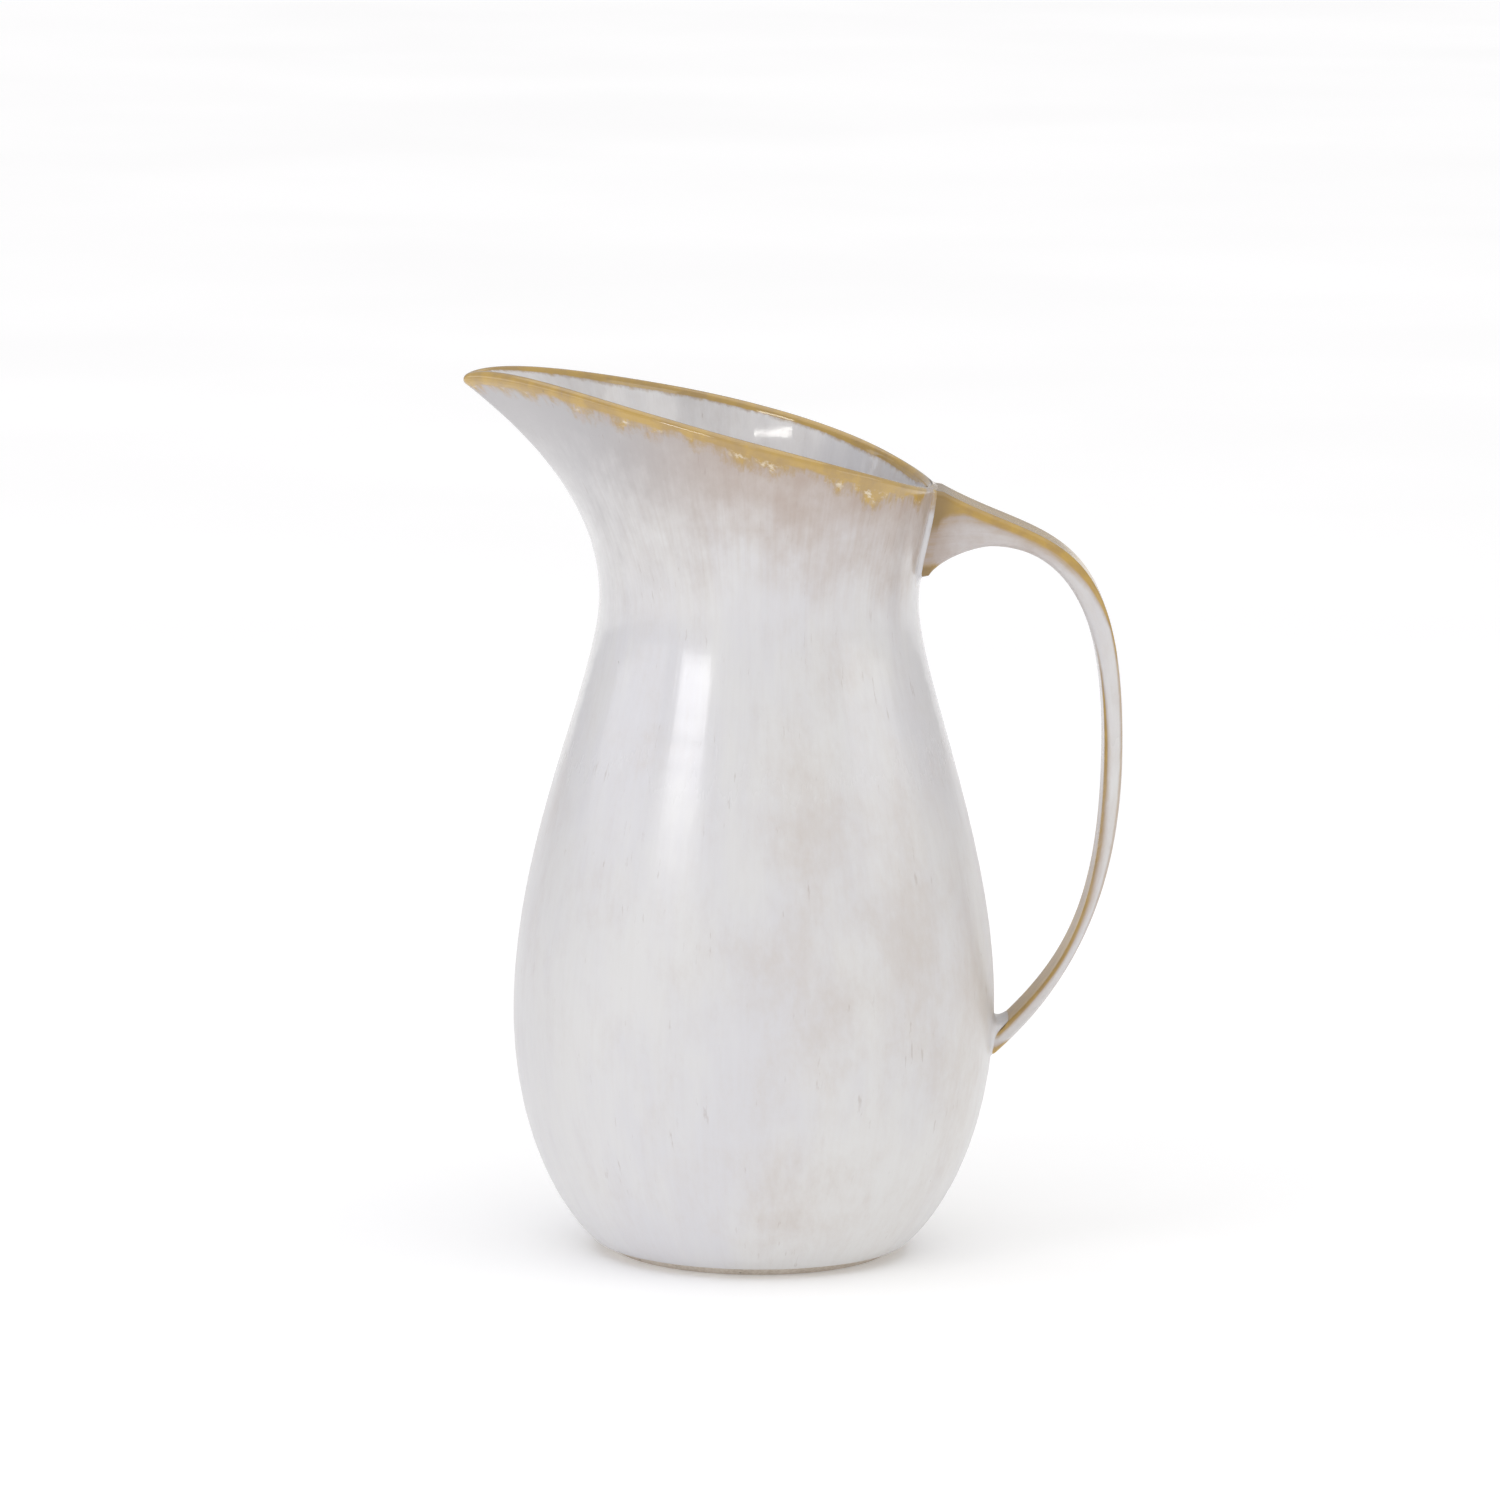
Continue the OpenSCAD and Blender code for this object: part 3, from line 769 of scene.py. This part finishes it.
def glaze(name, milk, runs=1.0, coat=0.6):
    """Tin-white glaze that turns amber where it breaks over edges.

    It reads the fields amber (millimetres inside the amber), thin (thin glaze and painted shade),
    cloud (cloudy patches, and painted shade at the handle's root), cream, drop (millimetres below the lip)
    and flow. milk is its white, runs how ragged its amber is, and coat how glossy it is.
    """
    material = bpy.data.materials.new(name)
    g = Graph(material)
    f = glaze_inputs(g)
    colour = haze_and_shade_colour(g, f, milk_colour(g, f, milk))
    colour, covered = amber_colour(g, f, colour, runs)
    colour, brown = marked_colour(g, f, colour)
    g.set(Base_Color=colour)
    glaze_surface(g, f, covered, brown, runs, coat)
    return material


def bisque(name):
    """Fired, unglazed clay: sandy and matte, with grog and small pits."""
    material = bpy.data.materials.new(name)
    g = Graph(material)
    place = g.place()
    grain, patch = g.noise(place, 0.0011, 4, 0.7), g.noise(place, 0.014, 3)
    colour = g.mix(g.ramp(g.total(grain, (patch, 0.6)), 0.55, 1.05), CLAY, CLAY_DARK)
    grog = g.specks(place, 0.0030, 0.0005, 0.35)
    colour = g.mix(g.times(grog, 0.7), colour, BROWN)
    g.set(Base_Color=colour, Roughness=g.ramp(grain, 0.3, 0.7, 0.68, 0.92))
    g.bump(g.total(grain, (grog, -0.8)), CLAY_RELIEF)
    return material


# ---- vessel pieces ----

def add_vessel(surface):
    """The three coats of glaze on the vessel: outside, over the lip and inside."""
    grid, normals = surface["grid"], surface["normals"]
    fields = {
        "amber": amber_field(surface),
        "thin": thin_field(surface),
        "cloud": cloud_field(surface),
        "cream": cream_field(surface),
        "drop": surface["drop"],
        "flow": flow_coordinates(surface),
    }
    first, last = surface["rim_rows"]
    parts = (
        ("exterior_coat", slice(0, first + 1), "white_glaze", "exterior_glaze"),
        ("rim_coat", slice(first, last + 1), "amber_glaze", "rim_glaze"),
        ("interior_coat", slice(last, len(grid)), "inner_glaze", "interior_glaze"),
    )
    for name, rows, slot, node in parts:
        cut = {key: values[rows] for key, values in fields.items()}
        if name == "interior_coat":
            mesh = disc_skin_mesh(name, grid[rows], normals[rows], cut)
        else:
            mesh = skin_mesh(name, grid[rows], normals[rows], cut, round_first=name == "exterior_coat")
        add_piece(name, mesh, glaze(f"{name}_glaze", MILK), slot, node)


def add_body(surface):
    """The clay shell between the two coats, closed by its flat underside."""
    shell = surface["grid"] - surface["normals"] * GLAZE_T
    reach = np.linalg.norm(shell[0, 0, :2])
    under = lathe_grid(surface["angles"], [(r, FOOT_H) for r in np.linspace(POLE_R, reach, UNDER_ROWS)[:-1]])
    down = np.zeros_like(under)
    down[..., 2] = -1
    grid = np.concatenate([under, shell])
    mesh = build_mesh("body_clay", grid, np.concatenate([down, surface["normals"]]), {}, capped=True)
    add_piece("body_clay", mesh, bisque("body_bisque"), "stoneware", "vessel_body")


def rounded_profile(corners, radii, steps=5):
    """A closed (radius, height) outline with each corner cut round."""
    corners = np.asarray(corners, float)
    outline = []
    for i, radius in enumerate(radii):
        here, before, after = corners[i], corners[i - 1], corners[(i + 1) % len(corners)]
        start, end = here + unit(before - here) * radius, here + unit(after - here) * radius
        t = np.linspace(0, 1, steps + 1)[:, None]
        outline.append((1 - t) ** 2 * start + 2 * (1 - t) * t * here + t**2 * end)
    return np.vstack(outline)


def add_foot(surface):
    """Bare ring that the pitcher stands on, turned to a soft edge."""
    corners = ((FOOT_INNER_R + FOOT_IN_TAPER, 0), (FOOT_R - FOOT_OUT_TAPER, 0),
               (FOOT_BOX[1].y, FOOT_H), (FOOT_INNER_R - FOOT_IN_TAPER, FOOT_H))
    grid = lathe_grid(surface["angles"], rounded_profile(corners, FOOT_ROUNDING))
    mesh = build_mesh("foot_clay", grid, grid_normals(grid), {}, capped=False)
    add_piece("foot_clay", mesh, bisque("foot_bisque"), "bare_foot", "foot_ring")


def add_underside(surface):
    """Glaze pooled in the recess inside the foot, thicker at its edge."""
    radius, low = UNDER_BOX[1].x, UNDER_BOX[0].z
    r = np.linspace(radius, POLE_R, POOL_ROWS)
    pool = low + POOL_RISE * (1 - (r / radius) ** 4)
    front = lathe_grid(surface["angles"], np.stack([r, pool], axis=1))[:, ::-1]
    normals = grid_normals(front)
    even = {"amber": NO_AMBER, "thin": 0.1, "cloud": 0.3, "drop": FAR_BELOW}
    fields = {key: np.full(front.shape[:2], value) for key, value in even.items()} | {"flow": front}
    mesh = disc_skin_mesh("underside_coat", front, normals, fields)
    add_piece("underside_coat", mesh, glaze("underside_coat_glaze", MILK), "inner_glaze", "underside_glaze")


# ---- handle ----

def strap_edges(station):
    """Outer and inner edge of the strap in the (x, z) plane at each station."""
    station = np.asarray(station, float)
    web, arch = station / WEB_END, (station - WEB_END) / (ARCH_END - WEB_END)
    drop = (station - ARCH_END) / (DROP_END - ARCH_END)
    in_web, in_arch = (station < WEB_END)[:, None], (station < ARCH_END)[:, None]
    arch_share = WEB_SHARE + (1 - WEB_SHARE) * arch
    out = np.where(in_web, bezier(OUTER_ARCH, WEB_SHARE * web),
                   np.where(in_arch, bezier(OUTER_ARCH, arch_share), bezier(OUTER_DROP, drop)))
    inner = np.where(in_web, bezier(INNER_WEB, web),
                     np.where(in_arch, bezier(INNER_ARCH, arch), bezier(INNER_DROP, DROP_SHARE * drop)))
    return out, inner


def section_table():
    """Points around the strap's rounded rectangle, as rows (ky, cy, ks, cs).

    A point lies at ky flat half widths and cy corner radii in y, and at ks and cs of them across the strap.
    """
    rows = []
    corners = ((1, 1, 0), (-1, 1, 90), (-1, -1, 180), (1, -1, 270))
    for i, (ky, ks, start) in enumerate(corners):
        for q in np.radians(start + 90 * np.arange(CORNER_STEPS + 1) / CORNER_STEPS):
            rows.append((ky, np.cos(q), ks, np.sin(q)))
        next_ky, next_ks, _ = corners[(i + 1) % 4]
        steps = FACE_STEPS if ks == next_ks else SIDE_STEPS
        turn = np.radians(start + 90)
        for t in np.arange(1, steps) / steps:
            rows.append((ky + (next_ky - ky) * t, np.cos(turn), ks + (next_ks - ks) * t, np.sin(turn)))
    return np.array(rows)


SECTION = section_table()


def strap_half_width(station):
    """Half the strap's width, which narrows towards its lower end."""
    return STRAP_HALF_TOP + (STRAP_HALF_LOW - STRAP_HALF_TOP) * np.asarray(station) / DROP_END


def strap_grid(station, grow=0.0):
    """Rings of the strap at each station, grown by grow on every side."""
    out, inner = strap_edges(station)
    middle, across = (out + inner) / 2, unit(out - inner)
    half_t = np.linalg.norm(out - inner, axis=1) / 2 + grow
    half_w = strap_half_width(station) + grow
    radius = np.minimum(STRAP_EDGE_R + grow, half_t * EDGE_SHARE)
    ky, cy, ks, cs = SECTION.T
    y = np.outer(half_w - radius, ky) + np.outer(radius, cy)
    s = np.outer(half_t - radius, ks) + np.outer(radius, cs)
    return np.stack([middle[:, :1] + across[:, :1] * s, y, middle[:, 1:] + across[:, 1:] * s], axis=2)


def on_wall(points, surface, sink=0.0):
    """Points moved along x onto the vessel's outside behind the handle, or to sink below it."""
    from_handle = away(surface["angles"], 0)
    order = [i for i in np.argsort(from_handle) if abs(from_handle[i]) < NEAR_HANDLE]
    columns = surface["grid"][:surface["crown"] + 1, order]
    moved = points.copy().reshape(-1, 3)
    for point in moved:
        x, y = [np.array([np.interp(point[2], c[:, 2], c[:, axis]) for c in columns.transpose(1, 0, 2)])
                for axis in (0, 1)]
        point[0] = np.interp(point[1], y, x) - sink
    return moved.reshape(points.shape)


def strap_surface(surface):
    """The strap's glazed surface, with both ends let into the wall."""
    parts = ((0, WEB_END, WEB_ROWS), (WEB_END, ARCH_END, ARCH_ROWS), (ARCH_END, DROP_END, DROP_ROWS))
    stations = np.concatenate([[0]] + [np.linspace(start, end, rows + 1)[1:] for start, end, rows in parts])
    grid = strap_grid(stations)
    grid[0], grid[-1] = on_wall(grid[0], surface, TOP_SINK), on_wall(grid[-1], surface, LOW_SINK)
    return stations, grid


def banded(share, steps):
    """Value along the strap from steps of (share of its length, value), as a column."""
    where, values = zip(*steps)
    return np.interp(share, where, values)[:, None]


# Reach of the amber from the strap's outer and inner edges, over its faces and sides, in millimetres
OUT_FACE = ((0, 90.0), (0.22, 90.0), (0.30, 26.0), (0.40, 7.0), (0.47, 1.0), (0.96, 0.5), (1.0, 3.0))
OUT_SIDE = ((0, 15.0), (0.02, 8.0), (0.045, 4.6), (0.08, 2.9),
            (0.33, 2.7), (0.44, 0.5), (0.96, 0.4), (1.0, 3.0))
IN_FACE = ((0, 4.0), (0.05, 0.4), (0.44, 0.4), (0.60, 2.4), (0.80, 11.0), (1.0, 12.0))
IN_SIDE = ((0, 4.0), (0.05, 0.4), (0.44, 0.3), (0.54, 0.9), (0.80, 1.5), (1.0, 2.0))
# Share of that reach at the outer edge on the far side
FAR_REACH = 0.7
# Depth of the amber at an edge, and the drop that the glaze reads: solid over the arch, then veined
EDGE_AMBER = ((0.40, 3.2), (0.55, 2.2), (0.70, 2.4), (0.85, 3.4))
STRAP_DROP = ((0.40, 2.0), (0.60, 4.3), (0.70, 4.3), (0.85, 3.9))
# Painted shade in olive at the root, and thin glaze: at the root, where it is partly painted shade, over the
# arch, and low down on the inner face, where it is painted shade
ROOT_OLIVE_SHADE = ((0, 1.0), (0.03, 0.8), (0.08, 0.35))
ROOT_THIN_AND_SHADE = ((0, 0.45), (0.10, 0.0))
ARCH_THIN = ((0.25, 0.28), (0.45, 0.0))
INNER_FACE_SHADE = ((0.5, 0.0), (0.7, 0.6))
# Thin glaze everywhere on the strap, and how near the inner face counts as on it, in millimetres
STRAP_THIN, ON_FACE = 0.12, 1.0


def edge_amber(from_face_edge, from_side_edge, face, side):
    """1 on an edge of the strap, 0 as far from it as the amber reaches, and less beyond."""
    return 1 - np.maximum(from_face_edge / face, from_side_edge / side)


def strap_fields(stations, grid):
    """Amber along the strap's edges: broad on the outer ones over the arch, and narrow below it."""
    share = stations / DROP_END
    out, inner = strap_edges(stations)
    half_t = np.linalg.norm(out - inner, axis=1)[:, None] * MM / 2
    half_w = MM * strap_half_width(stations)[:, None]
    ky, cy, ks, cs = SECTION.T
    edge_r = np.minimum(STRAP_EDGE_R * MM, half_t * EDGE_SHARE)
    y, s = (half_w - edge_r) * ky + edge_r * cy, (half_t - edge_r) * ks + edge_r * cs
    from_near, from_far, from_out, from_in = half_w + y, half_w - y, half_t - s, half_t + s

    out_face, out_side, in_face, in_side = [banded(share, b) for b in (OUT_FACE, OUT_SIDE, IN_FACE, IN_SIDE)]
    nearest = np.maximum.reduce([
        edge_amber(from_near, from_out, out_face, out_side),
        edge_amber(from_far, from_out, FAR_REACH * out_face, FAR_REACH * out_side),
        edge_amber(np.minimum(from_near, from_far), from_in, in_face, in_side)])
    # Painted shade on the strap's inner face low down, carried as thin glaze
    low = banded(share, INNER_FACE_SHADE) * (from_in < ON_FACE)
    everywhere = np.zeros_like(nearest)
    return {
        "amber": np.maximum(banded(share, EDGE_AMBER) * nearest, NO_AMBER),
        # Thin glaze on the strap, with painted shade at its root and low down on its inner face
        "thin": STRAP_THIN + banded(share, ARCH_THIN) + banded(share, ROOT_THIN_AND_SHADE) + low,
        # Painted olive shade at the strap's root
        "cloud": banded(share, ROOT_OLIVE_SHADE) + everywhere,
        "cream": everywhere,
        "drop": banded(share, STRAP_DROP) + everywhere,
        "flow": np.stack([y / MM, s / MM, -column_lengths(grid)], axis=2),
    }


def add_handle(surface):
    """The strap's clay and its coat of glaze."""
    stations, grid = strap_surface(surface)
    normals = grid_normals(grid)
    mesh = skin_mesh("handle_coat", grid, normals, strap_fields(stations, grid))
    material = glaze("handle_coat_glaze", MILK, 0.25, 0.0)
    add_piece("handle_coat", mesh, material, "handle_glaze", "handle_glaze")
    core = build_mesh("handle_clay", grid - normals * GLAZE_T, normals, {}, capped=True)
    add_piece("handle_clay", core, bisque("handle_bisque"), "stoneware", "handle_core")


def fillet_reach(small, side, large):
    """Reach around the strap: small on its outer face, and large on its inner face."""
    _, _, ks, cs = SECTION.T
    inward = np.clip(-(ks + cs) / 2, -1, 1)
    return np.where(inward > 0, side + (large - side) * inward**3, side + (side - small) * inward)


def fillet_surface(surface, at, towards, reach):
    """Concave fillet between the strap and the wall, in rows towards the wall, and its inmost corner."""
    ring = strap_grid([at])[0]
    foot = on_wall(ring, surface)
    strap_side = foot + unit(strap_grid([towards])[0] - foot) * reach[:, None]
    outward = strap_grid([at], 1 / MM)[0] - ring
    wall_side = on_wall(foot + outward * reach[:, None] * MM, surface)
    t = np.linspace(0, 1, FILLET_ROWS + 1)[:, None, None]
    return (1 - t) ** 2 * strap_side + 2 * (1 - t) * t * foot + t**2 * wall_side, foot


# Amber on the slip: in its middle, added at its edges, how far it comes down from the lip, and at most
SLIP_AMBER, SLIP_EDGE_AMBER, SLIP_LIP, SLIP_MOST = -3.2, 1.6, 3.4, 1.2


def add_joint(surface, name, at, towards, reach):
    """Slip around one joint of the handle, as a closed ring of small depth."""
    front, foot = fillet_surface(surface, at, towards, fillet_reach(*reach))
    normals = grid_normals(front)
    if np.sum(normals * (front - foot)) < 0:
        front = front[:, ::-1]
        normals = grid_normals(front)
    grid = np.concatenate([front, (front - normals * SLIP_T)[::-1]])
    shade = np.concatenate([normals, -normals[::-1]])
    rows = np.linspace(-1, 1, FILLET_ROWS + 1)
    across = np.concatenate([rows, rows[::-1]])[:, None]
    on_lip = (grid[:, :, 2] - BACK_Z) * MM + SLIP_LIP
    everywhere = np.zeros_like(on_lip)
    fields = {
        "amber": np.maximum(SLIP_AMBER + SLIP_EDGE_AMBER * across**4, np.minimum(on_lip, SLIP_MOST)),
        "thin": np.clip(on_lip / 3, 0, 1),
        "cloud": everywhere,
        "cream": everywhere,
        "drop": FAR_BELOW + everywhere,
        "flow": grid,
    }
    mesh = build_mesh(f"{name}_fillet", grid, shade, fields, capped=False)
    material = glaze(f"{name}_fillet_glaze", SLIP, 0.3)
    add_piece(f"{name}_fillet", mesh, material, "joint_slip", f"{name}_slip")


# ---- stage, light and camera ----

FLOOR_HALF = 14.0
FLOOR_TONES = (rgb(246, 246, 246), rgb(250, 250, 250))
FLOOR_GLOW = 0.17

# Soft lamps around the pitcher: name, azimuth, distance, height, size, brightness, colour, roll
SOFTBOXES = (
    ("window", -44, 2.0, 0.81, (0.76, 0.32), 6.2, (0.97, 0.97, 1.0), 6),
    ("curtain", -88, 2.0, 0.72, (1.6, 0.5), 1.0, (0.96, 0.97, 1.0), 0),
    ("reflector", 80, 2.0, 0.72, (1.4, 0.5), 0.9, (1.0, 0.99, 0.97), 0),
    ("strip", 0, 1.35, 1.158, (0.56, 0.045), 8.0, (1.0, 0.99, 0.95), -5.5),
)
# Height that the soft lamps face, and the ceiling's light: brightness and spread
LAMP_TARGET_Z = 0.15
CEILING_STRENGTH, CEILING_SPREAD = 0.95, 80

# Tones of the studio's walls on the left and right: in front at the horizon, in front high up, and behind
HORIZON_TONES = ((0.68, 0.68, 0.70, 1.0), (0.90, 0.90, 0.90, 1.0))
HIGH_TONES = ((0.54, 0.54, 0.57, 1.0), (0.78, 0.77, 0.75, 1.0))
BEHIND_TONES = ((0.42, 0.42, 0.45, 1.0), (0.55, 0.54, 0.52, 1.0))

# The photograph's viewpoint
EYE = (-0.0021, -2.2, 0.48)
EYE_TARGET_Z, EYE_ROLL = 0.1495, 0.75
LENS, SENSOR = 180.7, 36.0


def floor_material():
    """Pale paper, with a broad and very faint change of tone."""
    material = bpy.data.materials.new("pale_floor")
    g = Graph(material)
    tone = g.ramp(g.noise(g.place(), 0.60, 3), 0.3, 0.7)
    g.set(Base_Color=g.mix(tone, *FLOOR_TONES), Roughness=0.9)
    g.set(Emission_Color=(1.0, 1.0, 1.0, 1.0), Emission_Strength=FLOOR_GLOW)
    return material


def add_floor():
    """A wide, flat floor at the height that the pitcher stands on."""
    mesh = bpy.data.meshes.new("floor")
    corners = [(x * FLOOR_HALF, y * FLOOR_HALF, 0) for x, y in ((-1, -1), (1, -1), (1, 1), (-1, 1))]
    mesh.from_pydata(corners, [], [(0, 1, 2, 3)])
    mesh.materials.append(floor_material())
    add_object("floor", mesh)


def aim(thing, target, roll=0.0):
    """Turns a lamp or camera from where it stands to face the target."""
    turn = (Vector(target) - thing.location).to_track_quat("-Z", "Y").to_matrix()
    thing.rotation_euler = (turn @ Matrix.Rotation(np.radians(roll), 3, "Z")).to_euler()


def add_softbox(name, azimuth, distance, height, size, brightness, colour, roll):
    """A rectangular lamp facing the pitcher. Azimuth 0 is the camera's side, and more goes to the right."""
    lamp = bpy.data.lights.new(name, "AREA")
    lamp.shape, lamp.size, lamp.size_y = "RECTANGLE", *size
    lamp.energy = brightness * size[0] * size[1] * np.pi
    lamp.color = colour
    softbox = add_object(name, lamp)
    turn = np.radians(azimuth)
    softbox.location = (distance * np.sin(turn), -distance * np.cos(turn), height)
    aim(softbox, (0, 0, LAMP_TARGET_Z), roll)


def add_lights():
    """The soft lamps, and a ceiling that lights the floor evenly."""
    for softbox in SOFTBOXES:
        add_softbox(*softbox)
    lamp = bpy.data.lights.new("ceiling", "SUN")
    lamp.energy, lamp.angle = CEILING_STRENGTH, np.radians(CEILING_SPREAD)
    add_object("ceiling", lamp).location = (0, 0, 3)


def blend(g, part, tones, start=-1.0, end=1.0):
    """A tone that goes from the first to the second as one part of a direction goes from start to end."""
    return g.mix(g.ramp(part, start, end, kind="LINEAR"), *tones)


def add_world():
    """Pale studio walls: cool on the left and warm on the right, and dimmer behind the pitcher."""
    world = bpy.data.worlds.new("studio")
    g = Graph(world, "Background")
    direction = g.node("ShaderNodeTexCoord").outputs["Generated"]
    x, y, z = g.node("ShaderNodeSeparateXYZ", Vector=direction).outputs
    horizon = blend(g, x, HORIZON_TONES, -1.0, -0.35)
    front = blend(g, z, (horizon, blend(g, x, HIGH_TONES)), 0.0, 0.45)
    g.set(Color=blend(g, y, (front, blend(g, x, BEHIND_TONES)), -0.5, 0.5))
    bpy.context.scene.world = world


def add_camera():
    """In front of the pitcher and above it, looking slightly down, as the photograph does."""
    lens = bpy.data.cameras.new("camera")
    lens.lens, lens.sensor_width = LENS, SENSOR
    lens.clip_start, lens.clip_end = 0.1, 100.0
    camera = add_object("camera", lens)
    camera.location = EYE
    aim(camera, (EYE[0], 0, EYE_TARGET_Z), EYE_ROLL)
    bpy.context.scene.camera = camera
    bpy.context.scene.view_settings.view_transform = "Standard"


def main():
    surface = vessel_surface()
    add_body(surface)
    add_vessel(surface)
    add_foot(surface)
    add_underside(surface)
    add_handle(surface)
    add_joint(surface, "upper_joint", 0, FILLET_AHEAD, TOP_FILLET)
    add_joint(surface, "lower_joint", DROP_END, DROP_END - FILLET_AHEAD, LOW_FILLET)
    add_floor()
    add_lights()
    add_world()
    add_camera()


main()
